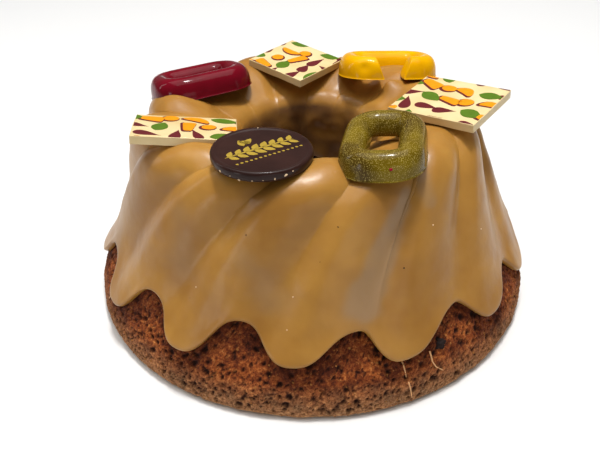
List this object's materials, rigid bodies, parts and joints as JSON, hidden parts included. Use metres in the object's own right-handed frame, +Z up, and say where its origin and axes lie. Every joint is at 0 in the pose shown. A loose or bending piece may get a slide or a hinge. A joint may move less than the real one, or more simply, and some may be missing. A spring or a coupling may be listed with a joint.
{
  "type": "bundt cake",
  "caption": "Swirled ring cake with a centre hole, a scalloped caramel glaze and chocolate disc, plaques and links pressed in along its crest",
  "frame": {"origin": "centre of the flat foot, on the surface the cake stands on, in the middle of the hole", "axes": "+Z up along the hole, the side with the disc and the green link faces -Y, +X to its right"},
  "size_m": [0.1798, 0.1798, 0.0846],
  "materials": {
    "sponge": "dry open brown crumb, matt",
    "glaze": "set caramel glaze, satin gloss",
    "disc": "dark chocolate, polished",
    "plaque_left": "white chocolate with a printed top, polished",
    "plaque_right": "white chocolate with a printed top, polished",
    "plaque_back": "white chocolate with a printed top, polished",
    "link_green": "green chocolate with gold dust, polished",
    "link_red": "dark red coloured chocolate, polished",
    "link_yellow": "yellow coloured chocolate, polished"
  },
  "bodies": {
    "root": {"sponge": "sponge", "glaze": "glaze", "disc": "disc", "plaque_left": "plaque_left", "plaque_right": "plaque_right", "plaque_back": "plaque_back", "link_green": "link_green", "link_red": "link_red", "link_yellow": "link_yellow"}
  },
  "joints": []
}
